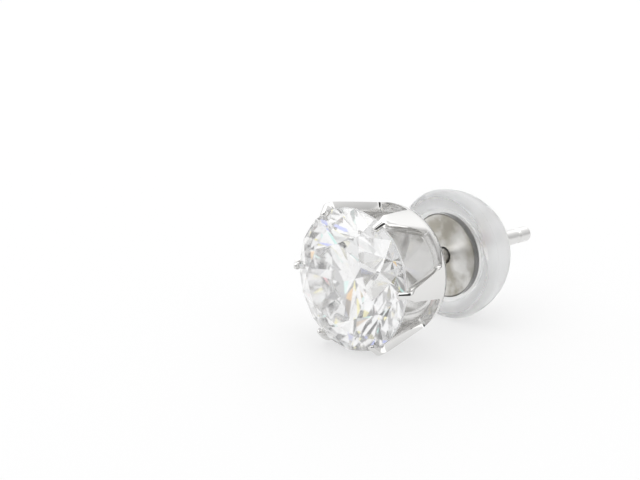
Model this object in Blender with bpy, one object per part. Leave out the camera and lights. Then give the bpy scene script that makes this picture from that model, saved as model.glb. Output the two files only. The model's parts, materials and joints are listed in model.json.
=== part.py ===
"""Solitaire stud earring, lying on its side with its friction catch on the post.

Metres, +Z up. The post runs along +Y, away from the stone, and every piece is a form
turned about that axis. Stations along the axis are counted from the middle of the
stone's girdle, towards the tip of the post. The earring lies on the plane z = 0, on its
two lower prongs and on the rim of the catch, with the middle of its footprint at x = y = 0.
"""
import math

import bmesh
import bpy
from mathutils import Vector

MM = 0.001

# Stone: a round brilliant
STONE_DIAMETER = 6.5 * MM
TABLE_DIAMETER = 3.7 * MM
CROWN_HEIGHT = 1.0 * MM
GIRDLE_THICKNESS = 0.15 * MM
PAVILION_DEPTH = 2.8 * MM
STAR_REACH = 0.52
LOWER_GIRDLE_REACH = 0.78
FACET_SYMMETRY = 8

# Setting: a turned cup, cut into six prongs by six windows
PRONG_COUNT = 6
PRONG_THICKNESS = 0.32 * MM
PRONG_FOOT_WIDTH = 1.46 * MM
PRONG_TIP_WIDTH = 0.3 * MM
CLAW_OVERLAP = 0.2 * MM
CLAW_THICKNESS = 0.34 * MM
CLAW_EDGE_RADIUS = 0.1 * MM
CLAW_BACK_REACH = 0.38 * MM
CLAW_BACK_DROP = 0.1 * MM
CUP_BASE_DIAMETER = 5.7 * MM
CUP_WALL = 0.44 * MM
CUP_FLOOR = 0.4 * MM
CUP_BAND_HEIGHT = 0.925 * MM
CUP_OUTER_CORNER_RADIUS = 1.0 * MM
CUP_INNER_CORNER_RADIUS = 0.56 * MM
CULET_CLEARANCE = 0.2 * MM
WINDOW_CORNER_RADIUS = 0.14 * MM
SEAT_CLEARANCE = 0.05 * MM

# Post, soldered to the middle of the cup
POST_DIAMETER = 0.7 * MM
POST_LENGTH = 8.35 * MM
POST_COLLAR_DIAMETER = 1.5 * MM
POST_COLLAR_LENGTH = 0.5 * MM
POST_TIP_RADIUS = 0.16 * MM
GROOVE_WIDTH = 0.24 * MM
GROOVE_DEPTH = 0.05 * MM
GROOVE_FROM_TIP = 0.83 * MM

# Catch: a metal core in a silicone dome
EARLOBE_GAP = 2.5 * MM
DOME_DIAMETER = 6.0 * MM
DOME_STRAIGHT = 0.14 * MM
DOME_RIM_RADIUS = 0.12 * MM
DOME_TAIL_WALL = 0.45 * MM
CORE_DISC_DIAMETER = 3.9 * MM
CORE_DISC_THICKNESS = 0.8 * MM
CORE_BARREL_DIAMETER = 2.0 * MM
CORE_RECESS = 0.05 * MM
CORE_EDGE_RADIUS = 0.1 * MM
CORE_CLEARANCE = 0.04 * MM
BORE_CLEARANCE = 0.04 * MM
TAIL_HOLE_CLEARANCE = 0.12 * MM

# How finely the round forms are divided, and the distance at which points are welded
TURN_STEPS = 60
GIRDLE_STEPS = 64
ARC_STEPS = 5
DOME_STEPS = 15
SHARP_ANGLE = math.radians(30)
REST_ROUNDS = 8
WELD = 0.001 * MM

# Radii and stations worked out from the sizes above
STONE_RADIUS = STONE_DIAMETER / 2
POST_RADIUS = POST_DIAMETER / 2
CULET_STATION = GIRDLE_THICKNESS / 2 + PAVILION_DEPTH
CUP_INSIDE_STATION = CULET_STATION + CULET_CLEARANCE
CUP_BACK_STATION = CUP_INSIDE_STATION + CUP_FLOOR
WINDOW_FLOOR_STATION = CUP_BACK_STATION - CUP_BAND_HEIGHT
PRONG_OUTER_RADIUS = STONE_RADIUS + SEAT_CLEARANCE + PRONG_THICKNESS
POST_TIP_STATION = CUP_BACK_STATION + POST_LENGTH
DOME_RADIUS = DOME_DIAMETER / 2
CORE_BACK = DOME_STRAIGHT + DOME_RADIUS - DOME_TAIL_WALL
CATCH_STATION = CUP_BACK_STATION + EARLOBE_GAP


def new_object(name, bm, material, smooth_angle=None):
    """Turn a bmesh into a named object with its own material."""
    bmesh.ops.recalc_face_normals(bm, faces=bm.faces)
    mesh = bpy.data.meshes.new(name)
    bm.to_mesh(mesh)
    bm.free()
    mesh.materials.append(material)
    if smooth_angle is not None:
        mesh.shade_smooth()
        mesh.set_sharp_from_angle(angle=smooth_angle)
    obj = bpy.data.objects.new(name, mesh)
    bpy.context.scene.collection.objects.link(obj)
    return obj


def new_material(name, color, roughness, metallic, transmission=0.0):
    material = bpy.data.materials.new(name)
    material.use_nodes = True
    shader = material.node_tree.nodes["Principled BSDF"]
    shader.inputs["Base Color"].default_value = (*color, 1.0)
    shader.inputs["Roughness"].default_value = roughness
    shader.inputs["Metallic"].default_value = metallic
    shader.inputs["Transmission Weight"].default_value = transmission
    return material


def fillet(before, corner, after, radius):
    """Points of an arc that rounds a corner of an outline of (radius, station) pairs."""
    corner = Vector(corner)
    back = (Vector(before) - corner).normalized()
    ahead = (Vector(after) - corner).normalized()
    half = back.angle(ahead) / 2
    reach = radius / math.tan(half)
    start = corner + back * reach
    centre = corner + (back + ahead).normalized() * (radius / math.sin(half))
    first = start - centre
    sweep = first.angle_signed(corner + ahead * reach - centre)
    points = []
    for step in range(ARC_STEPS + 1):
        turn = -sweep * step / ARC_STEPS
        x = first.x * math.cos(turn) - first.y * math.sin(turn)
        y = first.x * math.sin(turn) + first.y * math.cos(turn)
        points.append((centre.x + x, centre.y + y))
    return points


def turned(outline, closed):
    """Spin an outline of (radius, station) pairs once about the Y axis."""
    bm = bmesh.new()
    verts = [bm.verts.new((radius, station, 0.0)) for radius, station in outline]
    pairs = list(zip(verts, verts[1:]))
    if closed:
        pairs.append((verts[-1], verts[0]))
    edges = [bm.edges.new(pair) for pair in pairs]
    bmesh.ops.spin(bm, geom=verts + edges, cent=(0, 0, 0), axis=(0, 1, 0),
                   angle=math.tau, steps=TURN_STEPS, use_merge=True)
    bmesh.ops.remove_doubles(bm, verts=bm.verts, dist=WELD)
    return bm


def on_circle(radius, degrees, station):
    """A point about the axis, at an angle counted from straight down."""
    angle = math.radians(degrees)
    return Vector((radius * math.sin(angle), station, -radius * math.cos(angle)))


def crown_point(radius, height, degrees):
    return on_circle(radius, degrees, -GIRDLE_THICKNESS / 2 - height)


def pavilion_point(radius, depth, degrees):
    return on_circle(radius, degrees, GIRDLE_THICKNESS / 2 + depth)


def star_tip():
    """Radius and height over the girdle where a star facet meets the girdle facets."""
    table_radius = TABLE_DIAMETER / 2
    half_step = math.cos(math.pi / FACET_SYMMETRY)
    inner = table_radius * half_step
    radius = inner + STAR_REACH * (STONE_RADIUS - inner)
    slope = CROWN_HEIGHT / (STONE_RADIUS - table_radius)
    return radius, slope * (STONE_RADIUS - radius * half_step)


def lower_girdle_tip():
    """Radius and depth under the girdle where two lower girdle facets end."""
    half_step = math.cos(math.pi / FACET_SYMMETRY)
    radius = (1 - LOWER_GIRDLE_REACH) * STONE_RADIUS
    return radius, PAVILION_DEPTH * (1 - radius * half_step / STONE_RADIUS)


def facet_planes():
    """Three points on each facet of the brilliant but the table."""
    step = 360 / FACET_SYMMETRY
    table_radius = TABLE_DIAMETER / 2
    star_radius, star_height = star_tip()
    lower_radius, lower_depth = lower_girdle_tip()
    culet = pavilion_point(0, PAVILION_DEPTH, 0)
    planes = []
    for k in range(FACET_SYMMETRY):
        main = k * step
        side = main + step / 2
        table_here = crown_point(table_radius, CROWN_HEIGHT, main)
        table_next = crown_point(table_radius, CROWN_HEIGHT, main + step)
        star = crown_point(star_radius, star_height, side)
        lower = pavilion_point(lower_radius, lower_depth, side)
        star_before = crown_point(star_radius, star_height, side - step)
        lower_before = pavilion_point(lower_radius, lower_depth, side - step)
        planes.append([table_here, star_before, star])
        planes.append([table_here, star, table_next])
        planes.append([culet, lower_before, lower])
        for edge in (main, main + step):
            planes.append([star, crown_point(STONE_RADIUS, 0, edge),
                           crown_point(STONE_RADIUS, 0, side)])
            planes.append([lower, pavilion_point(STONE_RADIUS, 0, edge),
                           pavilion_point(STONE_RADIUS, 0, side)])
    return planes


def make_stone(material):
    """A round blank, as high as the stone, whose facets are cut one plane at a time."""
    table_station = -GIRDLE_THICKNESS / 2 - CROWN_HEIGHT
    bm = bmesh.new()
    angles = [360 * k / GIRDLE_STEPS for k in range(GIRDLE_STEPS)]
    front = [bm.verts.new(on_circle(STONE_RADIUS, angle, table_station)) for angle in angles]
    back = [bm.verts.new(on_circle(STONE_RADIUS, angle, CULET_STATION)) for angle in angles]
    bm.faces.new(front)
    bm.faces.new(back)
    for k in range(GIRDLE_STEPS):
        bm.faces.new((front[k - 1], front[k], back[k], back[k - 1]))
    for plane in facet_planes():
        normal = (plane[1] - plane[0]).cross(plane[2] - plane[0]).normalized()
        if normal.dot(plane[0]) < 0:
            normal.negate()
        geometry = bm.verts[:] + bm.edges[:] + bm.faces[:]
        bmesh.ops.bisect_plane(bm, geom=geometry, dist=WELD / 100, plane_co=plane[0],
                               plane_no=normal, clear_outer=True)
        rim = [edge for edge in bm.edges if edge.is_boundary]
        if rim:
            bmesh.ops.contextual_create(bm, geom=rim)
    bmesh.ops.remove_doubles(bm, verts=bm.verts, dist=2 * WELD)
    return new_object("stone", bm, material)


def crown_slope():
    """Rise of the crown over the girdle, for each unit inwards, at its fullest."""
    radius, height = star_tip()
    return height / (STONE_RADIUS - radius)


def pavilion_slope():
    radius, depth = lower_girdle_tip()
    return depth / (STONE_RADIUS - radius)


def cup_side_radius(station):
    """Outer radius of the cup's straight flank at a station."""
    share = station / CUP_BACK_STATION
    return PRONG_OUTER_RADIUS + share * (CUP_BASE_DIAMETER / 2 - PRONG_OUTER_RADIUS)


def claw_outline():
    """The claw's half section, from the cup's wall under the stone round to the flank."""
    groove_radius = STONE_RADIUS + SEAT_CLEARANCE
    half_girdle = GIRDLE_THICKNESS / 2
    seat_radius = cup_side_radius(half_girdle) - CUP_WALL
    seat_station = half_girdle + pavilion_slope() * (groove_radius - seat_radius)
    tip_radius = STONE_RADIUS - CLAW_OVERLAP
    under = (tip_radius, -half_girdle - crown_slope() * (groove_radius - tip_radius))
    top = (tip_radius, under[1] - CLAW_THICKNESS)
    shoulder = (tip_radius + CLAW_BACK_REACH, top[1] + CLAW_BACK_DROP)
    bend = (PRONG_OUTER_RADIUS, 0.0)
    outline = [(seat_radius, seat_station), (groove_radius, half_girdle),
               (groove_radius, -half_girdle), under]
    outline += fillet(under, top, shoulder, CLAW_EDGE_RADIUS)
    outline += fillet(top, shoulder, bend, CLAW_EDGE_RADIUS)
    outline += [bend]
    return outline


def post_outline():
    """The post's half section, from its collar on the cup to the middle of its tip."""
    collar_radius = POST_COLLAR_DIAMETER / 2
    neck_radius = (POST_RADIUS * 2 + collar_radius) / 3
    groove_station = POST_TIP_STATION - GROOVE_FROM_TIP
    half_groove = GROOVE_WIDTH / 2
    tip = (0.0, POST_TIP_STATION)
    outline = [(collar_radius, CUP_BACK_STATION),
               (neck_radius, CUP_BACK_STATION + POST_COLLAR_LENGTH / 3),
               (POST_RADIUS, CUP_BACK_STATION + POST_COLLAR_LENGTH),
               (POST_RADIUS, groove_station - half_groove),
               (POST_RADIUS - GROOVE_DEPTH, groove_station - half_groove / 2),
               (POST_RADIUS - GROOVE_DEPTH, groove_station + half_groove / 2),
               (POST_RADIUS, groove_station + half_groove)]
    outline += fillet((POST_RADIUS, groove_station), (POST_RADIUS, POST_TIP_STATION), tip,
                      POST_TIP_RADIUS)
    outline += [tip]
    return outline


def setting_outline():
    """Cup, claws and post in one half section, from the cup's inner floor to the tip."""
    claw = claw_outline()
    floor_middle = (0.0, CUP_INSIDE_STATION)
    inner_corner = (cup_side_radius(CUP_INSIDE_STATION) - CUP_WALL, CUP_INSIDE_STATION)
    outer_corner = (CUP_BASE_DIAMETER / 2, CUP_BACK_STATION)
    back_middle = (0.0, CUP_BACK_STATION)
    outline = [floor_middle]
    outline += fillet(floor_middle, inner_corner, claw[0], CUP_INNER_CORNER_RADIUS)
    outline += claw
    outline += fillet(claw[-1], outer_corner, back_middle, CUP_OUTER_CORNER_RADIUS)
    outline += post_outline()
    return outline


def half_angle(width, radius):
    return math.degrees(math.asin(width / 2 / radius))


def window_flank(middle, side):
    """Foot and tip of one flank of a window, and the way its face runs out from the axis."""
    pitch = 360 / PRONG_COUNT
    foot_radius = cup_side_radius(WINDOW_FLOOR_STATION)
    foot_angle = middle + side * (pitch / 2 - half_angle(PRONG_FOOT_WIDTH, foot_radius))
    tip_angle = middle + side * (pitch / 2 - half_angle(PRONG_TIP_WIDTH, STONE_RADIUS))
    claw_top = min(station for radius, station in claw_outline())
    foot = on_circle(foot_radius, foot_angle, WINDOW_FLOOR_STATION)
    tip = on_circle(STONE_RADIUS, tip_angle, claw_top)
    return foot, tip, on_circle(1.0, foot_angle, 0.0)


def make_window_cutter(index, material):
    """A block that opens the cup between two prongs, from its floor past the claws."""
    middle = 360 / PRONG_COUNT * index
    inward = cup_side_radius(WINDOW_FLOOR_STATION) / 2
    outward = PRONG_OUTER_RADIUS / 2
    bm = bmesh.new()
    corners = []
    for side in (-1, 1):
        foot, tip, direction = window_flank(middle, side)
        past_tip = tip + (tip - foot) / 3
        for point in (foot, past_tip):
            corners.append([bm.verts.new(point - direction * inward),
                            bm.verts.new(point + direction * outward)])
    left_foot, left_top, right_foot, right_top = corners
    ring = [left_foot, left_top, right_top, right_foot]
    for here, after in zip(ring, ring[1:] + ring[:1]):
        bm.faces.new((here[0], after[0], after[1], here[1]))
    bm.faces.new([pair[0] for pair in ring])
    bm.faces.new([pair[1] for pair in ring])
    bmesh.ops.recalc_face_normals(bm, faces=bm.faces)
    floor_edges = [edge for edge in bm.edges
                   if set(edge.verts) in (set(left_foot), set(right_foot))]
    bmesh.ops.bevel(bm, geom=floor_edges, offset=WINDOW_CORNER_RADIUS, segments=3,
                    profile=0.5, affect="EDGES")
    cutter = new_object("window_cutter_%d" % index, bm, material)
    cutter.hide_render = True
    cutter.display_type = "WIRE"
    return cutter


def make_setting(material):
    """Six-prong cup and its soldered post, one piece of metal."""
    body = turned(setting_outline(), closed=False)
    setting = new_object("setting", body, material, SHARP_ANGLE)
    for index in range(PRONG_COUNT):
        cut = setting.modifiers.new("window_%d" % index, "BOOLEAN")
        cut.operation = "DIFFERENCE"
        cut.solver = "EXACT"
        cut.object = make_window_cutter(index, material)
    return setting


def make_catch_core(material):
    """Metal disc with a barrel behind it, bored for the post; stations from the ear side."""
    bore = POST_RADIUS + BORE_CLEARANCE
    disc = CORE_DISC_DIAMETER / 2
    barrel = CORE_BARREL_DIAMETER / 2
    front = CORE_RECESS
    step = CORE_RECESS + CORE_DISC_THICKNESS
    back = CORE_BACK
    outline = [(bore + CORE_EDGE_RADIUS, front)]
    outline += fillet((bore, front), (disc, front), (disc, step), CORE_EDGE_RADIUS)
    outline += fillet((disc, front), (disc, step), (barrel, step), CORE_EDGE_RADIUS)
    outline += [(barrel, step)]
    outline += fillet((barrel, step), (barrel, back), (bore, back), CORE_EDGE_RADIUS)
    outline += [(bore, back), (bore, front + CORE_EDGE_RADIUS)]
    return new_object("catch_core", turned(outline, closed=True), material, SHARP_ANGLE)


def make_catch_dome(material):
    """Silicone dome, flat towards the ear, moulded round the core."""
    disc = CORE_DISC_DIAMETER / 2 + CORE_CLEARANCE
    barrel = CORE_BARREL_DIAMETER / 2 + CORE_CLEARANCE
    step = CORE_RECESS + CORE_DISC_THICKNESS + CORE_CLEARANCE
    pocket = CORE_BACK + CORE_CLEARANCE
    hole = POST_RADIUS + TAIL_HOLE_CLEARANCE
    outline = [(disc, 0.0)]
    outline += fillet((disc, 0.0), (DOME_RADIUS, 0.0), (DOME_RADIUS, DOME_STRAIGHT),
                      DOME_RIM_RADIUS)
    last = math.acos(hole / DOME_RADIUS)
    for k in range(DOME_STEPS + 1):
        angle = last * k / DOME_STEPS
        outline.append((DOME_RADIUS * math.cos(angle),
                        DOME_STRAIGHT + DOME_RADIUS * math.sin(angle)))
    outline += [(hole, pocket), (barrel, pocket), (barrel, step), (disc, step)]
    return new_object("catch_dome", turned(outline, closed=True), material, SHARP_ANGLE)


def world_points(objects):
    """Every vertex of the finished pieces, where they lie in the world."""
    bpy.context.view_layer.update()
    graph = bpy.context.evaluated_depsgraph_get()
    points = []
    for obj in objects:
        finished = obj.evaluated_get(graph)
        points += [obj.matrix_world @ vert.co for vert in finished.to_mesh().vertices]
        finished.to_mesh_clear()
    return points


def lay_down(stud, stud_pieces, catch, catch_pieces):
    """Rest the prongs and the catch's rim on z = 0, and centre the footprint."""
    catch.location.y = CATCH_STATION
    for _ in range(REST_ROUNDS):
        front = min(world_points(stud_pieces), key=lambda point: point.z)
        back = min(world_points(catch_pieces), key=lambda point: point.z)
        stud.rotation_euler.x += math.atan2(front.z - back.z, back.y - front.y)
    points = world_points(stud_pieces + catch_pieces)
    stud.location.z -= min(point.z for point in points)
    stud.location.y -= (min(point.y for point in points) + max(point.y for point in points)) / 2
    bpy.context.view_layer.update()


def main():
    for obj in list(bpy.data.objects):
        bpy.data.objects.remove(obj, do_unlink=True)
    diamond = new_material("clear stone", (0.96, 0.97, 1.0), 0.02, 0.0, transmission=1.0)
    platinum = new_material("polished platinum", (0.86, 0.86, 0.85), 0.08, 1.0)
    core_metal = new_material("core platinum", (0.78, 0.77, 0.75), 0.18, 1.0)
    silicone = new_material("clear silicone", (0.93, 0.93, 0.92), 0.35, 0.0, transmission=0.8)
    stud = bpy.data.objects.new("stud_axis", None)
    catch = bpy.data.objects.new("catch_axis", None)
    for empty in (stud, catch):
        bpy.context.scene.collection.objects.link(empty)
    catch.parent = stud
    stone = make_stone(diamond)
    setting = make_setting(platinum)
    core = make_catch_core(core_metal)
    dome = make_catch_dome(silicone)
    cutters = [modifier.object for modifier in setting.modifiers]
    for obj in [stone, setting] + cutters:
        obj.parent = stud
    for obj in (core, dome):
        obj.parent = catch
    lay_down(stud, [stone, setting], catch, [core, dome])


main()
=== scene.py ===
"""Looks of a solitaire stud earring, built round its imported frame.

The stud lies on its side. Each piece is drawn upright in millimetres, turned about the
Y axis, with stations counted from the middle of the stone's girdle towards the post's tip.
It is then laid along the real axis, which the frame's mounts give.
"""
import json
import math

import bpy
from mathutils import Matrix, Vector


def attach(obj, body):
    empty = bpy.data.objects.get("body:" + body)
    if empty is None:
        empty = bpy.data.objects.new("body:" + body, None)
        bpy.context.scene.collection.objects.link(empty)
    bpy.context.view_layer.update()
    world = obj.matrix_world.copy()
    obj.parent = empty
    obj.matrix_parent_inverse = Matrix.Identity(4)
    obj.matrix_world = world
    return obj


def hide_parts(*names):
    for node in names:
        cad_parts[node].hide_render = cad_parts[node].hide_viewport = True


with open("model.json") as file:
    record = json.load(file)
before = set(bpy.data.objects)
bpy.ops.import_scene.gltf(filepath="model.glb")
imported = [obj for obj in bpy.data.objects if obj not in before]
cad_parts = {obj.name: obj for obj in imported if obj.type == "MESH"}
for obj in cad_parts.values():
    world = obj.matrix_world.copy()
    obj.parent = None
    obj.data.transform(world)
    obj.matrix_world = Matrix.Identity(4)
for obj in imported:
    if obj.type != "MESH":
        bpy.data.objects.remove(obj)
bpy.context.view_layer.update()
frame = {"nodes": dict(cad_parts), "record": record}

# Stone: a round brilliant, colourless, cut and polished to flat facets with sharp edges, and
# ground matt round its girdle. It is the frame's own solid, so only its finish is made here.
DIAMOND_INDEX = 2.417
CRYSTAL_COOL = (0.985, 0.99, 1.0)
CRYSTAL_WARM = (1.0, 0.995, 0.985)
GIRDLE_HALF = 0.075
GROUND_BAND = (GIRDLE_HALF - 0.01, GIRDLE_HALF + 0.005)
GROUND_ROUGHNESS = 0.3
FACET_ROUGHNESS = 0.035

# The cup's flat back stands CUP_BACK behind the middle of the girdle. The frame's mounts
# say where that back is and which way the post leaves it, and so how the stud leans.
MM = 0.001
CUP_BACK = 3.475
mounts = {mount["name"]: mount for mount in frame["record"]["mounts"]}
post_way = Vector(mounts["ear_front_face"]["axis"]).normalized()
cup_back_middle = Vector((0.0, *mounts["ear_front_face"]["pos_m"][1:]))
girdle_middle = cup_back_middle - post_way * CUP_BACK * MM
lean = math.atan2(post_way.z, post_way.y)


def new_finish(name):
    """A material, its node tree and shader, and the place on the stud in millimetres."""
    finish = bpy.data.materials.new(name)
    finish.use_nodes = True
    tree = finish.node_tree
    where = tree.nodes.new("ShaderNodeTexCoord")
    along = tree.nodes.new("ShaderNodeMapping")
    along.vector_type = "TEXTURE"
    along.inputs["Location"].default_value = girdle_middle
    along.inputs["Rotation"].default_value = (lean, 0.0, 0.0)
    along.inputs["Scale"].default_value = (MM, MM, MM)
    tree.links.new(where.outputs["Object"], along.inputs["Vector"])
    return finish, tree, tree.nodes["Principled BSDF"], along.outputs["Vector"]


def station_of(tree, place):
    """How far along the stud a point is."""
    parts = tree.nodes.new("ShaderNodeSeparateXYZ")
    tree.links.new(place, parts.inputs["Vector"])
    return parts.outputs["Y"]


def feed(tree, value, socket):
    """Link an output to a socket, or set the socket to a plain value."""
    if isinstance(value, bpy.types.NodeSocket):
        tree.links.new(value, socket)
    else:
        socket.default_value = value


def worked_out(tree, operation, *values):
    """One sum on outputs and plain numbers."""
    step = tree.nodes.new("ShaderNodeMath")
    step.operation = operation
    for value, socket in zip(values, step.inputs):
        feed(tree, value, socket)
    return step.outputs["Value"]


def fade(tree, source, start, end, first=0.0, last=1.0, soft=False):
    """Go from first to last while the source goes from start to end."""
    fading = tree.nodes.new("ShaderNodeMapRange")
    fading.interpolation_type = "SMOOTHSTEP" if soft else "LINEAR"
    fading.inputs["From Min"].default_value = start
    fading.inputs["From Max"].default_value = end
    fading.inputs["To Min"].default_value = first
    fading.inputs["To Max"].default_value = last
    tree.links.new(source, fading.inputs["Value"])
    return fading.outputs["Result"]


def clouds(tree, place, scale, detail):
    """Soft noise, as in a crystal that grew in zones or a metal that is marked unevenly, and as patches of
    painted reflection.
    """
    noise = tree.nodes.new("ShaderNodeTexNoise")
    noise.inputs["Scale"].default_value = scale
    noise.inputs["Detail"].default_value = detail
    tree.links.new(place, noise.inputs["Vector"])
    return noise.outputs["Fac"]


def tinted(tree, source, stops, blended=True):
    """Colours picked by a value, from (position, colour) stops in order."""
    picking = tree.nodes.new("ShaderNodeValToRGB")
    picking.color_ramp.interpolation = "LINEAR" if blended else "CONSTANT"
    elements = picking.color_ramp.elements
    for element, (position, colour) in zip(elements, (stops[0], stops[-1])):
        element.position = position
        element.color = (*colour, 1.0)
    for position, colour in stops[1:-1]:
        elements.new(position).color = (*colour, 1.0)
    tree.links.new(source, picking.inputs["Fac"])
    return picking.outputs["Color"]


def dress(piece, finish):
    """Give a piece its finish, in place of any that it has."""
    piece.data.materials.clear()
    piece.data.materials.append(finish)


stone = frame["nodes"]["stone"]
diamond, tree, shader, place = new_finish("polished diamond")
zones = clouds(tree, place, scale=0.8, detail=1.0)
crystal = tinted(tree, zones, [(0.3, CRYSTAL_COOL), (0.7, CRYSTAL_WARM)])
tree.links.new(crystal, shader.inputs["Base Color"])
from_girdle = worked_out(tree, "ABSOLUTE", station_of(tree, place))
facets = fade(tree, from_girdle, *GROUND_BAND, GROUND_ROUGHNESS, FACET_ROUGHNESS)
tree.links.new(facets, shader.inputs["Roughness"])
shader.inputs["IOR"].default_value = DIAMOND_INDEX
shader.inputs["Transmission Weight"].default_value = 1.0
dress(stone, diamond)

# Setting: a cup turned from platinum, sawn open by six windows so that six prongs stand,
# each filed to a small claw over the stone. The post is soldered to the cup's back.
PRONGS = 6
PRONG_OUTER_RADIUS = 3.62
CUP_FOOT_RADIUS = 2.85
CUP_FOOT_ROUNDING = 1.0
CUP_WALL = 0.44
CUP_INSIDE = 3.075
CUP_INSIDE_ROUNDING = 0.56
WINDOW_FLOOR = 2.55
SAW_RADIUS = 0.14
FOOT_HALF_WIDTH = 0.73
SHOULDER = 0.2
SHOULDER_HALF_WIDTH = 0.29
SEAT_RADIUS = 3.17
SEAT_ROUNDING = 0.05
GROOVE_RADIUS = 3.3
GROOVE_ROUNDING = 0.02
HEAD_ROUNDING = 0.25
CLAW_START = -0.15
CLAW_HALF_WIDTH = 0.17
CLAW_UNDERSIDE = -0.265
CLAW_UNDERSIDE_ROUNDING = 0.03
CLAW_ALL_OUTSIDE = -0.3
CLAW_TIP_RADIUS = 3.05
CLAW_TIP_END = -0.46
CLAW_TIP_ROUNDING = 0.08
CLAW_BACK_RADIUS = 3.17
CLAW_TOP = -0.52
CLAW_TOP_ROUNDING = 0.1
CLAW_CORE = (3.2, -0.2)
CLAW_ROUNDING = 0.4
CLAW_FULLNESS = 0.95
SOLDER_RADIUS = 0.75
SOLDER_ROUNDING = 0.06
SOLDER_WAIST_RADIUS = 0.48
SOLDER_WAIST = CUP_BACK + 0.17
SOLDER_WAIST_ROUNDING = 0.2
SOLDER_END = CUP_BACK + 0.5
POST_RADIUS = 0.35
POST_TIP = 11.825
POST_TIP_ROUNDING = 0.16
POST_GROOVE = 10.995
POST_GROOVE_DEPTH = 0.05
POST_GROOVE_FLAT = 0.06
POST_GROOVE_HALF_WIDTH = 0.12
POST_GROOVE_ROUNDING = 0.04
EDGE_ROUNDING = 0.04
CLOSE = 0.001
ARC_STEP = math.radians(12)
BEVELLED_FROM = math.radians(32)
SMOOTH_UP_TO = math.radians(40)


def cup_side(station):
    """Outer radius of the cup's flank."""
    share = station / CUP_BACK
    return PRONG_OUTER_RADIUS + share * (CUP_FOOT_RADIUS - PRONG_OUTER_RADIUS)


def cup_inside(station):
    """Inner radius of the cup's flank and of the prongs, up to the stone's seat."""
    share = (WINDOW_FLOOR - station) / (WINDOW_FLOOR - SHOULDER)
    low = cup_side(WINDOW_FLOOR) - CUP_WALL
    return low + share * (SEAT_RADIUS - low)


def claw_under(station):
    """Radius of the claw's underside, which runs over the crown from the groove to the tip."""
    share = (station + GIRDLE_HALF) / (CLAW_UNDERSIDE + GIRDLE_HALF)
    return GROOVE_RADIUS + share * (CLAW_TIP_RADIUS - GROOVE_RADIUS)


def claw_ridge(station):
    """Radius of the claw's straight back, which is filed from the prong's head to the tip."""
    return PRONG_OUTER_RADIUS + station / CLAW_TOP * (CLAW_BACK_RADIUS - PRONG_OUTER_RADIUS)


def rounded(corners):
    """Outline through (radius, station, rounding) corners, with arcs at the rounded ones."""
    outline = []
    for index, (radius, station, rounding) in enumerate(corners):
        corner = Vector((radius, station))
        if not rounding:
            outline.append(corner)
            continue
        back = (Vector(corners[index - 1][:2]) - corner).normalized()
        ahead = (Vector(corners[(index + 1) % len(corners)][:2]) - corner).normalized()
        half = back.angle(ahead) / 2
        reach = rounding / math.tan(half)
        start = corner + back * reach
        centre = corner + (back + ahead).normalized() * rounding / math.sin(half)
        sweep = (start - centre).angle_signed(corner + ahead * reach - centre)
        steps = max(2, round(abs(sweep) / ARC_STEP))
        for step in range(steps + 1):
            spoke = (start - centre).copy()
            spoke.rotate(Matrix.Rotation(-sweep * step / steps, 2))
            outline.append(centre + spoke)
    return outline


def deselect_all():
    """Leave nothing selected, so that an operator acts on the next piece alone."""
    for thing in list(bpy.context.selected_objects):
        thing.select_set(False)


def draw_outline(name, outline, closed):
    """Trace an outline with one extruded point; X is the radius, Y the station."""
    deselect_all()
    bpy.ops.mesh.primitive_plane_add(size=1.0)
    piece = bpy.context.object
    piece.name = name
    piece.data.name = name
    bpy.ops.object.mode_set(mode="EDIT")
    bpy.ops.mesh.select_mode(type="VERT")
    bpy.ops.mesh.select_all(action="SELECT")
    bpy.ops.mesh.merge(type="CENTER")
    bpy.ops.transform.translate(value=(*outline[0], 0.0))
    for here, after in zip(outline, outline[1:]):
        step = (*(after - here), 0.0)
        bpy.ops.mesh.extrude_region_move(TRANSFORM_OT_translate={"value": step})
    bpy.ops.object.mode_set(mode="OBJECT")
    if closed:
        for vertex in piece.data.vertices:
            vertex.select = vertex.index in (0, len(outline) - 1)
        bpy.ops.object.mode_set(mode="EDIT")
        bpy.ops.mesh.select_mode(type="VERT")
        bpy.ops.mesh.edge_face_add()
        bpy.ops.object.mode_set(mode="OBJECT")
    return piece


def select_where(piece, wanted, kind="vertices"):
    """Select the vertices, edges or faces for which wanted says so, and enter edit mode."""
    bpy.ops.object.mode_set(mode="OBJECT")
    mesh = piece.data
    kinds = {"vertices": mesh.vertices, "edges": mesh.edges, "faces": mesh.polygons}
    bpy.context.tool_settings.mesh_select_mode = [name == kind for name in kinds]
    for parts in kinds.values():
        for part in parts:
            part.select = False
    for part in kinds[kind]:
        part.select = wanted(part)
    bpy.ops.object.mode_set(mode="EDIT")


def lay_along_axis(piece):
    """Scale a finished piece to metres, lay it on the stud's axis and shade it."""
    bpy.ops.object.mode_set(mode="OBJECT")
    deselect_all()
    piece.select_set(True)
    bpy.context.view_layer.objects.active = piece
    piece.scale = (MM, MM, MM)
    piece.rotation_euler = (lean, 0.0, 0.0)
    piece.location = girdle_middle
    bpy.ops.object.transform_apply(location=True, rotation=True, scale=True)
    bpy.ops.object.shade_smooth_by_angle(angle=SMOOTH_UP_TO)


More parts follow.
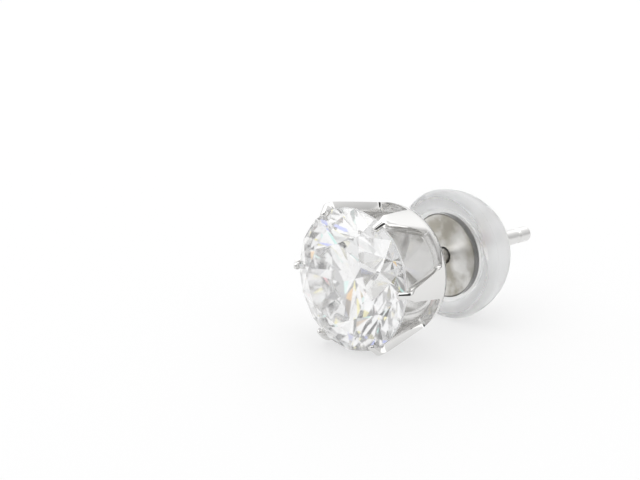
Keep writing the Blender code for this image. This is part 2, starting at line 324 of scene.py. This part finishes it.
# The outline runs from the middle of the cup's floor, up its inside to a claw's tip, and
# down its outside and the post to the post's tip. The stone's girdle lies in the groove.
PRONG_STATIONS = (1.9, 1.3, 0.7)
setting_corners = [
    (0.0, CUP_INSIDE, 0),
    (cup_side(CUP_INSIDE) - CUP_WALL, CUP_INSIDE, CUP_INSIDE_ROUNDING),
    (cup_inside(WINDOW_FLOOR), WINDOW_FLOOR, 0),
    *((cup_inside(station), station, 0) for station in PRONG_STATIONS),
    (SEAT_RADIUS, SHOULDER, SEAT_ROUNDING),
    (GROOVE_RADIUS, GIRDLE_HALF, GROOVE_ROUNDING),
    (GROOVE_RADIUS, -GIRDLE_HALF, GROOVE_ROUNDING),
    (claw_under(CLAW_START), CLAW_START, 0),
    (CLAW_TIP_RADIUS, CLAW_UNDERSIDE, CLAW_UNDERSIDE_ROUNDING),
    (CLAW_TIP_RADIUS, CLAW_TIP_END, CLAW_TIP_ROUNDING),
    (CLAW_BACK_RADIUS, CLAW_TOP, CLAW_TOP_ROUNDING),
    (claw_ridge(CLAW_START), CLAW_START, 0),
    (PRONG_OUTER_RADIUS, 0.0, HEAD_ROUNDING),
    (cup_side(SHOULDER), SHOULDER, 0),
    *((cup_side(station), station, 0) for station in reversed(PRONG_STATIONS)),
    (cup_side(WINDOW_FLOOR), WINDOW_FLOOR, 0),
    (CUP_FOOT_RADIUS, CUP_BACK, CUP_FOOT_ROUNDING),
    (SOLDER_RADIUS, CUP_BACK, SOLDER_ROUNDING),
    (SOLDER_WAIST_RADIUS, SOLDER_WAIST, SOLDER_WAIST_ROUNDING),
    (POST_RADIUS, SOLDER_END, 0),
    (POST_RADIUS, POST_GROOVE - POST_GROOVE_HALF_WIDTH, POST_GROOVE_ROUNDING),
    (POST_RADIUS - POST_GROOVE_DEPTH, POST_GROOVE - POST_GROOVE_FLAT, POST_GROOVE_ROUNDING),
    (POST_RADIUS - POST_GROOVE_DEPTH, POST_GROOVE + POST_GROOVE_FLAT, POST_GROOVE_ROUNDING),
    (POST_RADIUS, POST_GROOVE + POST_GROOVE_HALF_WIDTH, POST_GROOVE_ROUNDING),
    (POST_RADIUS, POST_TIP, POST_TIP_ROUNDING),
    (0.0, POST_TIP, 0),
]

# One sixth of the cup, with its prong in the middle, is spun from the outline in columns,
# and the faces that lie in the windows are deleted.
PRONG_COLUMNS = 3
WINDOW_COLUMNS = 4
half_columns = PRONG_COLUMNS + WINDOW_COLUMNS
sector = 2 * math.pi / PRONGS
column_angle = sector / 2 / half_columns
setting = draw_outline("setting_polished", rounded(setting_corners), closed=False)
bpy.ops.object.mode_set(mode="EDIT")
bpy.ops.mesh.select_all(action="SELECT")
bpy.ops.transform.rotate(value=sector / 2, orient_axis="Y", center_override=(0, 0, 0))
bpy.ops.mesh.spin(steps=2 * half_columns, angle=sector, center=(0, 0, 0), axis=(0, 1, 0))


def column_of(point):
    """Which column of the sector a point is on, counted from the prong's middle."""
    return (math.atan2(point.z, point.x) - sector) / column_angle


def in_window(face):
    """Whether a face lies where the saw has cut a window."""
    return face.center.y < WINDOW_FLOOR and abs(column_of(face.center)) > PRONG_COLUMNS


select_where(setting, in_window, kind="faces")
bpy.ops.mesh.delete(type="FACE")
bpy.ops.object.mode_set(mode="OBJECT")


def prong_half_angle(station):
    """Half the angle that a prong spans: it narrows to its shoulder, then to its claw."""
    if station >= WINDOW_FLOOR:
        half_width = FOOT_HALF_WIDTH
    elif station > SHOULDER:
        share = (station - SHOULDER) / (WINDOW_FLOOR - SHOULDER)
        half_width = SHOULDER_HALF_WIDTH + share * (FOOT_HALF_WIDTH - SHOULDER_HALF_WIDTH)
    else:
        share = max(0.0, (station - CLAW_START) / (SHOULDER - CLAW_START))
        half_width = CLAW_HALF_WIDTH + share ** 2 * (SHOULDER_HALF_WIDTH - CLAW_HALF_WIDTH)
    return math.asin(half_width / cup_side(min(station, WINDOW_FLOOR)))


def on_outside(radius, station):
    """Whether a point is on the outer half of the wall, or on a claw's tip."""
    return radius > cup_side(station) - CUP_WALL / 2 or station < CLAW_ALL_OUTSIDE


# The columns are drawn in towards the middle of the prong, whose claw is filed round.
columns = {}
outside = {}
for vertex in setting.data.vertices:
    radius = math.hypot(vertex.co.x, vertex.co.z)
    station = vertex.co.y
    column = round(column_of(vertex.co)) if radius > CLOSE else 0
    columns[vertex.index] = column
    outside[vertex.index] = on_outside(radius, station)
    half = prong_half_angle(station)
    across = min(abs(column), PRONG_COLUMNS) / PRONG_COLUMNS
    turn = half * across
    turn += (sector / 2 - half) * max(abs(column) - PRONG_COLUMNS, 0) / WINDOW_COLUMNS
    if station < SHOULDER and outside[vertex.index]:
        pull = min(1.0, (SHOULDER - station) / (SHOULDER - CLAW_START)) * CLAW_ROUNDING
        pull *= 1.0 - math.sqrt(1.0 - CLAW_FULLNESS * across ** 2)
        radius += pull * (CLAW_CORE[0] - radius)
        station += pull * (CLAW_CORE[1] - station)
    angle = sector + math.copysign(turn, column)
    vertex.co = (radius * math.cos(angle), station, radius * math.sin(angle))

# The windows' floors are bridged from the outer wall to the inner, the prong's two flanks
# are closed, and the corner between floor and flank is left round by the saw.
for side in (-1, 1):
    select_where(setting, lambda vertex: abs(vertex.co.y - WINDOW_FLOOR) < CLOSE
                 and side * columns[vertex.index] >= PRONG_COLUMNS)
    bpy.ops.mesh.bridge_edge_loops()
    select_where(setting, lambda edge: all(
        side * columns[corner] == PRONG_COLUMNS
        and setting.data.vertices[corner].co.y < WINDOW_FLOOR + CLOSE
        for corner in edge.vertices) and outside[edge.vertices[0]] == outside[edge.vertices[1]],
        kind="edges")
    bpy.ops.mesh.bridge_edge_loops()
select_where(setting, lambda vertex: abs(vertex.co.y - WINDOW_FLOOR) < CLOSE
             and abs(columns[vertex.index]) == PRONG_COLUMNS)
bpy.ops.mesh.select_mode(type="EDGE")
bpy.ops.mesh.bevel(offset=SAW_RADIUS, segments=4, affect="EDGES")

# The sector is repeated round the axis, the six are merged into one closed body, and the
# polishing takes the sharpness off its edges.
bpy.ops.mesh.select_all(action="SELECT")
bpy.ops.mesh.spin(steps=PRONGS, angle=2 * math.pi, center=(0, 0, 0), axis=(0, 1, 0), dupli=True)
bpy.ops.mesh.select_all(action="SELECT")
bpy.ops.mesh.remove_doubles(threshold=CLOSE)
bpy.ops.mesh.normals_make_consistent(inside=False)
bpy.ops.object.mode_set(mode="OBJECT")
polished_edges = setting.modifiers.new("polished_edges", "BEVEL")
polished_edges.width = EDGE_ROUNDING
polished_edges.segments = 3
polished_edges.limit_method = "ANGLE"
polished_edges.angle_limit = BEVELLED_FROM
bpy.ops.object.modifier_apply(modifier="polished_edges")
lay_along_axis(setting)

# The platinum is polished until it mirrors, with the faintest of marks. The wheel doesn't
# reach the cup's inside, which stays satin, and the post keeps the dull skin of drawn wire.
# One finish gives way to the next between two stations, or two depths in the wall.
PLATINUM = (0.78, 0.775, 0.765, 1.0)
MIRROR_ROUGHNESS = (0.03, 0.08)
SATIN_ROUGHNESS = 0.22
SATIN_FROM = (0.06, 0.16)
SATIN_UP_TO = (3.0, 3.1)
SATIN_IN_WALL = (0.04, 0.16)
WIRE_ROUGHNESS = 0.3
WIRE_FROM = (SOLDER_END, SOLDER_END + 0.3)


def radius_of(tree, place):
    """How far from the stud's axis a point is."""
    flat = tree.nodes.new("ShaderNodeVectorMath")
    flat.operation = "MULTIPLY"
    flat.inputs[1].default_value = (1.0, 0.0, 1.0)
    tree.links.new(place, flat.inputs[0])
    length = tree.nodes.new("ShaderNodeVectorMath")
    length.operation = "LENGTH"
    tree.links.new(flat.outputs["Vector"], length.inputs[0])
    return length.outputs["Value"]


def marked(tree, shader, height, strength, depth):
    """Let a height stand out on a surface, by a depth in metres."""
    bump = tree.nodes.new("ShaderNodeBump")
    bump.inputs["Strength"].default_value = strength
    bump.inputs["Distance"].default_value = depth
    tree.links.new(height, bump.inputs["Height"])
    tree.links.new(bump.outputs["Normal"], shader.inputs["Normal"])


platinum, tree, shader, place = new_finish("polished platinum")
shader.inputs["Base Color"].default_value = PLATINUM
shader.inputs["Metallic"].default_value = 1.0
station = station_of(tree, place)
marks = clouds(tree, place, scale=3.0, detail=2.0)
flank_slope = (PRONG_OUTER_RADIUS - CUP_FOOT_RADIUS) / CUP_BACK
at_girdle = worked_out(tree, "MULTIPLY_ADD", station, flank_slope, radius_of(tree, place))
inner_wall = PRONG_OUTER_RADIUS - CUP_WALL
satin = fade(tree, at_girdle, *(inner_wall + depth for depth in SATIN_IN_WALL), 1.0, 0.0)
satin = worked_out(tree, "MULTIPLY", satin, fade(tree, station, *SATIN_UP_TO, 1.0, 0.0))
satin = worked_out(tree, "MULTIPLY", satin, fade(tree, station, *SATIN_FROM, 0.0, SATIN_ROUGHNESS))
roughness = worked_out(tree, "ADD", fade(tree, station, *WIRE_FROM, 0.0, WIRE_ROUGHNESS), satin)
roughness = worked_out(tree, "ADD", roughness, fade(tree, marks, 0.0, 1.0, *MIRROR_ROUGHNESS))
tree.links.new(roughness, shader.inputs["Roughness"])
marked(tree, shader, marks, strength=0.04, depth=0.00001)
dress(setting, platinum)
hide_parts("setting")
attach(setting, "stud")

# Catch core: a disc with a barrel behind it, turned from white metal and bored to grip
# the post. It sits in the silicone, with the disc just behind the flat front.
CORE_RADIUS = 1.95
CORE_THICKNESS = 0.8
CORE_RECESS = 0.05
CORE_BACK = 2.69
CORE_TURNS = 96
DISC_FRONT_ROUNDING = 0.06
DISC_BACK_ROUNDING = 0.1
BARREL_RADIUS = 1.0
BARREL_ROOT_ROUNDING = 0.05
BARREL_ROUNDING = 0.1
BORE_RADIUS = 0.39
BORE_FRONT_ROUNDING = 0.03
BORE_BACK_ROUNDING = 0.05
catch_middle = Vector((0.0, *mounts["ear_back_face"]["pos_m"][1:]))
catch_front = CUP_BACK + (catch_middle - cup_back_middle).length / MM


def turned_piece(name, corners, turns):
    """Spin a closed outline once about the axis; stations count from the catch's face."""
    outline = [Vector((point.x, point.y + catch_front)) for point in rounded(corners)]
    piece = draw_outline(name, outline, closed=True)
    bpy.ops.object.mode_set(mode="EDIT")
    bpy.ops.mesh.select_all(action="SELECT")
    bpy.ops.mesh.spin(steps=turns, angle=2 * math.pi, center=(0, 0, 0), axis=(0, 1, 0))
    bpy.ops.mesh.select_all(action="SELECT")
    bpy.ops.mesh.remove_doubles(threshold=CLOSE)
    bpy.ops.mesh.normals_make_consistent(inside=False)
    return piece


core_corners = [
    (BORE_RADIUS, CORE_RECESS, BORE_FRONT_ROUNDING),
    (CORE_RADIUS, CORE_RECESS, DISC_FRONT_ROUNDING),
    (CORE_RADIUS, CORE_RECESS + CORE_THICKNESS, DISC_BACK_ROUNDING),
    (BARREL_RADIUS, CORE_RECESS + CORE_THICKNESS, BARREL_ROOT_ROUNDING),
    (BARREL_RADIUS, CORE_BACK, BARREL_ROUNDING),
    (BORE_RADIUS, CORE_BACK, BORE_BACK_ROUNDING),
]
core = turned_piece("catch_core_turned", core_corners, CORE_TURNS)
lay_along_axis(core)

# Its open face carries soft brown patches of painted reflection and a near-black band of painted
# shade round the disc's edge. The metal that the silicone seals keeps its plain bright colour.
# The lathe has left fine rings.
# The metal's own pale colour, with darker brown patches of painted reflection.
METAL_WITH_PAINTED_REFLECTIONS = [(0.36, (0.42, 0.40, 0.35)), (0.62, (0.84, 0.835, 0.82))]
# A near-black ring of painted shade round the edge of the disc, and the radii where it lies.
PAINTED_EDGE_SHADE = [(0.42, (0.03, 0.03, 0.025)), (0.62, (0.12, 0.115, 0.11))]
PAINTED_SHADE_BAND = (CORE_RADIUS - 0.1, CORE_RADIUS - 0.02)
SEALED_METAL = (0.93, 0.93, 0.925)
SEALED_DEPTHS = (0.47, 0.55)
TURNED_ROUGHNESS = (0.12, 0.32)
RING_PITCH = 0.07


def mixed(tree, share, one, other):
    """A colour that goes from one to the other as the share goes from 0 to 1."""
    blend = tree.nodes.new("ShaderNodeMix")
    blend.data_type = "RGBA"
    tree.links.new(share, blend.inputs["Factor"])
    for colour, socket in ((one, blend.inputs["A"]), (other, blend.inputs["B"])):
        feed(tree, (*colour, 1.0) if isinstance(colour, tuple) else colour, socket)
    return blend.outputs["Result"]


core_metal, tree, shader, place = new_finish("turned white metal")
shader.inputs["Metallic"].default_value = 1.0
radius = radius_of(tree, place)
blotches = clouds(tree, place, scale=0.9, detail=3.0)
# Painted shade: the disc's face turns near black towards its edge.
painted_shade_mask = fade(tree, radius, *PAINTED_SHADE_BAND)
# Painted reflection: soft brown patches over the open face of the disc.
open_face_with_painted_light = mixed(tree, painted_shade_mask, tinted(tree, blotches, METAL_WITH_PAINTED_REFLECTIONS), tinted(tree, blotches, PAINTED_EDGE_SHADE))
sealed = fade(tree, station_of(tree, place), *(catch_front + depth for depth in SEALED_DEPTHS))
tree.links.new(mixed(tree, sealed, open_face_with_painted_light, SEALED_METAL), shader.inputs["Base Color"])
tree.links.new(fade(tree, blotches, 0.0, 1.0, *TURNED_ROUGHNESS), shader.inputs["Roughness"])
rings = worked_out(tree, "SINE", worked_out(tree, "MULTIPLY", radius, 2 * math.pi / RING_PITCH))
marked(tree, shader, rings, strength=0.35, depth=0.000004)
dress(core, core_metal)
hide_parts("catch_core")
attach(core, "catch")

# Catch dome: clear silicone cast round the core, glossy and flat towards the ear, and
# softly frosted over the dome by its mould. It grips the core all over.
DOME_RADIUS = 3.0
DOME_STRAIGHT = 0.14
DOME_RIM = 0.44
DOME_LIP = 0.04
DOME_TURNS = 128
DOME_ARC_STEPS = 20
DOME_ARC_START = math.radians(6)
TAIL_HOLE_RADIUS = 0.47
GRIP = 0.01
dome_arc = math.acos(TAIL_HOLE_RADIUS / DOME_RADIUS) - DOME_ARC_START
dome_angles = [DOME_ARC_START + dome_arc * step / DOME_ARC_STEPS for step in range(DOME_ARC_STEPS + 1)]
dome_corners = [
    (CORE_RADIUS - GRIP, 0.0, DOME_LIP),
    (DOME_RADIUS, 0.0, DOME_RIM),
    *((DOME_RADIUS * math.cos(angle), DOME_STRAIGHT + DOME_RADIUS * math.sin(angle), 0)
      for angle in dome_angles),
    (TAIL_HOLE_RADIUS, CORE_BACK - GRIP, 0),
    (BARREL_RADIUS - GRIP, CORE_BACK - GRIP, 0),
    (BARREL_RADIUS - GRIP, CORE_RECESS + CORE_THICKNESS - GRIP, 0),
    (CORE_RADIUS - GRIP, CORE_RECESS + CORE_THICKNESS - GRIP, 0),
]
dome = turned_piece("catch_dome_silicone", dome_corners, DOME_TURNS)
lay_along_axis(dome)

# The silicone's tint is a little darker at its front and lighter towards the dome.
SILICONE_INDEX = 1.41
SILICONE_CLEARNESS = 0.85
SILICONE_FRONT = (0.95, 0.955, 0.955)
SILICONE_BACK = (0.98, 0.985, 0.99)
TINT_CHANGE_DEPTH = 0.5
GLOSSY_ROUGHNESS = 0.06
FROSTED_ROUGHNESS = 0.45
FROSTED_DEPTH = 0.06
silicone, tree, shader, place = new_finish("clear silicone")
shader.inputs["IOR"].default_value = SILICONE_INDEX
shader.inputs["Transmission Weight"].default_value = SILICONE_CLEARNESS
station = station_of(tree, place)
frosting = fade(tree, station, catch_front, catch_front + FROSTED_DEPTH, GLOSSY_ROUGHNESS, FROSTED_ROUGHNESS)
tree.links.new(frosting, shader.inputs["Roughness"])
towards_dome = fade(tree, station, catch_front, catch_front + TINT_CHANGE_DEPTH)
tree.links.new(mixed(tree, towards_dome, SILICONE_FRONT, SILICONE_BACK), shader.inputs["Base Color"])
dress(dome, silicone)
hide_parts("catch_dome")
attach(dome, "catch")

# Floor: a plain sweep of white board. It glows a little, as over a light table, so that
# the shadow under the stud stays as pale as in the photo.
BOARD_TONE = 0.24
BOARD_GLOW = 0.65
BOARD_ROUGHNESS = 0.7
BOARD_GLOSS = 0.2
deselect_all()
bpy.ops.mesh.primitive_plane_add(size=2.0)
floor = bpy.context.object
floor.name = "floor"
board = bpy.data.materials.new("white board")
board.use_nodes = True
shader = board.node_tree.nodes["Principled BSDF"]
shader.inputs["Base Color"].default_value = (BOARD_TONE, BOARD_TONE, BOARD_TONE, 1.0)
shader.inputs["Emission Color"].default_value = (1.0, 1.0, 1.0, 1.0)
shader.inputs["Emission Strength"].default_value = BOARD_GLOW
shader.inputs["Roughness"].default_value = BOARD_ROUGHNESS
shader.inputs["Specular IOR Level"].default_value = BOARD_GLOSS
dress(floor, board)

# Light: a white studio all round, brightest overhead, with a dark line at the horizon and
# darker cards, which give the polished metal and the facets their contrast.
LEVEL_LIGHT = 0.8
OVERHEAD_LIGHT = 1.95
HORIZON_TOP = 0.1
HORIZON_SHADE = 0.25
studio = bpy.data.worlds.new("studio")
bpy.context.scene.world = studio
studio.use_nodes = True
tree = studio.node_tree
sky = tree.nodes["Background"]
way = tree.nodes.new("ShaderNodeTexCoord").outputs["Generated"]
parts = tree.nodes.new("ShaderNodeSeparateXYZ")
tree.links.new(way, parts.inputs["Vector"])
overhead = fade(tree, parts.outputs["Z"], 0.0, 1.0, LEVEL_LIGHT, OVERHEAD_LIGHT)
horizon = fade(tree, parts.outputs["Z"], 0.0, HORIZON_TOP, HORIZON_SHADE, 1.0, soft=True)
light = worked_out(tree, "MULTIPLY", overhead, horizon)

# Each card has the way it stands in, its reach and its soft edge in degrees, and its shade.
CARDS = [((0.643, -0.70, 0.309), 22, 12, 0.04),
         ((-0.5, -0.8, 0.5), 10, 8, 0.4),
         ((0.1, -0.6, 0.9), 9, 6, 0.35),
         ((0.587, 0.70, 0.401), 30, 14, 0.6)]
for card_way, reach, soft_edge, shade in CARDS:
    facing = tree.nodes.new("ShaderNodeVectorMath")
    facing.operation = "DOT_PRODUCT"
    facing.inputs[1].default_value = Vector(card_way).normalized()
    tree.links.new(way, facing.inputs[0])
    outer = math.cos(math.radians(reach + soft_edge))
    inner = math.cos(math.radians(reach))
    card = fade(tree, facing.outputs["Value"], outer, inner, 1.0, shade, soft=True)
    light = worked_out(tree, "MULTIPLY", light, card)

# Rays that leave the stone see a room of darker and brighter patches, here and there in
# the colours that the gem splits light into. Those that have turned often see a plain tone.
ROOM_SCALE = 3.2
ROOM_TONES = [(0.0, (0.08,) * 3), (0.08, (0.28,) * 3), (0.24, (0.56,) * 3), (0.44, (0.8,) * 3),
              (0.68, (1.0,) * 3)]
PLAIN_TONE = (0.88, 0.88, 0.88)
PLAIN_TURNS = (5.0, 10.0)
FIRE_SCALE = 9.0
FIRE_FROM = 0.91
FIRE = [(0.0, (0.6, 1.0, 0.92)), (0.2, (1.0, 0.45, 0.5)), (0.36, (1.0, 0.93, 0.45)),
        (0.62, (1.0, 0.7, 0.4)), (0.82, (0.36, 0.42, 1.0))]
STONE_TURNS = 3.5


def patches(scale):
    """Three random values for each patch of the room."""
    cells = tree.nodes.new("ShaderNodeTexVoronoi")
    cells.inputs["Scale"].default_value = scale
    tree.links.new(way, cells.inputs["Vector"])
    values = tree.nodes.new("ShaderNodeSeparateColor")
    tree.links.new(cells.outputs["Color"], values.inputs["Color"])
    return values.outputs


ray = tree.nodes.new("ShaderNodeLightPath").outputs
tones = tinted(tree, patches(ROOM_SCALE)["Red"], ROOM_TONES, blended=False)
tones = mixed(tree, fade(tree, ray["Ray Depth"], *PLAIN_TURNS), tones, PLAIN_TONE)
sparks = patches(FIRE_SCALE)
sparkling = worked_out(tree, "GREATER_THAN", sparks["Green"], FIRE_FROM)
room = mixed(tree, sparkling, tones, tinted(tree, sparks["Blue"], FIRE, blended=False))
turned_often = worked_out(tree, "GREATER_THAN", ray["Ray Depth"], STONE_TURNS)
from_stone = worked_out(tree, "MULTIPLY", ray["Is Transmission Ray"], turned_often)
tree.links.new(mixed(tree, from_stone, (1.0, 1.0, 1.0), room), sky.inputs["Color"])

# Rays that come off a surface see the horizon and the cards. The camera's own rays, those
# that have turned often and those that pass through the stone or the silicone see an even
# light, which is brighter for the silicone.
STONE_LIGHT = 1.0
SILICONE_LIGHT = 1.5
SILICONE_TURNS = (2.0, 4.0)
evenly_lit = worked_out(tree, "MAXIMUM", ray["Is Transmission Ray"], turned_often)
evenly_lit = worked_out(tree, "MAXIMUM", evenly_lit, ray["Is Camera Ray"])
even_light = fade(tree, ray["Ray Depth"], *SILICONE_TURNS, SILICONE_LIGHT, STONE_LIGHT)
strength = tree.nodes.new("ShaderNodeMix")
tree.links.new(evenly_lit, strength.inputs["Factor"])
tree.links.new(light, strength.inputs["A"])
tree.links.new(even_light, strength.inputs["B"])
tree.links.new(strength.outputs["Result"], sky.inputs["Strength"])

# Camera: a long lens at the photo's own angle, aimed so that the earring lies where it
# does in the photo.
CAMERA_TURN = math.radians(42.575)
CAMERA_HEIGHT = math.radians(17.979)
CAMERA_DISTANCE = 0.160
FOCAL_PIXELS = 3550.0
SENSOR_WIDTH = 36.0
NEAREST_SEEN = 0.001
IMAGE_WIDTH = 640
IMAGE_MIDDLE = Vector((320.0, 240.0))
AIM = Vector((0.0, -0.002, 0.003))
AIM_PIXEL = Vector((403.5, 268.7))
back = Vector((math.sin(CAMERA_TURN) * math.cos(CAMERA_HEIGHT),
               -math.cos(CAMERA_TURN) * math.cos(CAMERA_HEIGHT),
               math.sin(CAMERA_HEIGHT)))
right = Vector((math.cos(CAMERA_TURN), math.sin(CAMERA_TURN), 0.0))
up = back.cross(right)
off = (IMAGE_MIDDLE - AIM_PIXEL) / FOCAL_PIXELS
ahead = (-back + right * off.x - up * off.y).normalized()
right = (right - ahead * right.dot(ahead)).normalized()
camera = bpy.data.objects.new("camera", bpy.data.cameras.new("camera"))
bpy.context.scene.collection.objects.link(camera)
turned_to = Matrix((right, right.cross(ahead), -ahead)).transposed()
camera.matrix_world = Matrix.Translation(AIM + back * CAMERA_DISTANCE) @ turned_to.to_4x4()
camera.data.sensor_width = SENSOR_WIDTH
camera.data.lens = FOCAL_PIXELS / IMAGE_WIDTH * SENSOR_WIDTH
camera.data.clip_start = NEAREST_SEEN
bpy.context.scene.camera = camera
bpy.context.scene.view_settings.view_transform = "Standard"

# Light turns many times inside the stone and the cup, so rays are followed a long way.
cycles = bpy.context.scene.cycles
cycles.max_bounces = 24
cycles.glossy_bounces = 20
cycles.transmission_bounces = 20
cycles.diffuse_bounces = 4
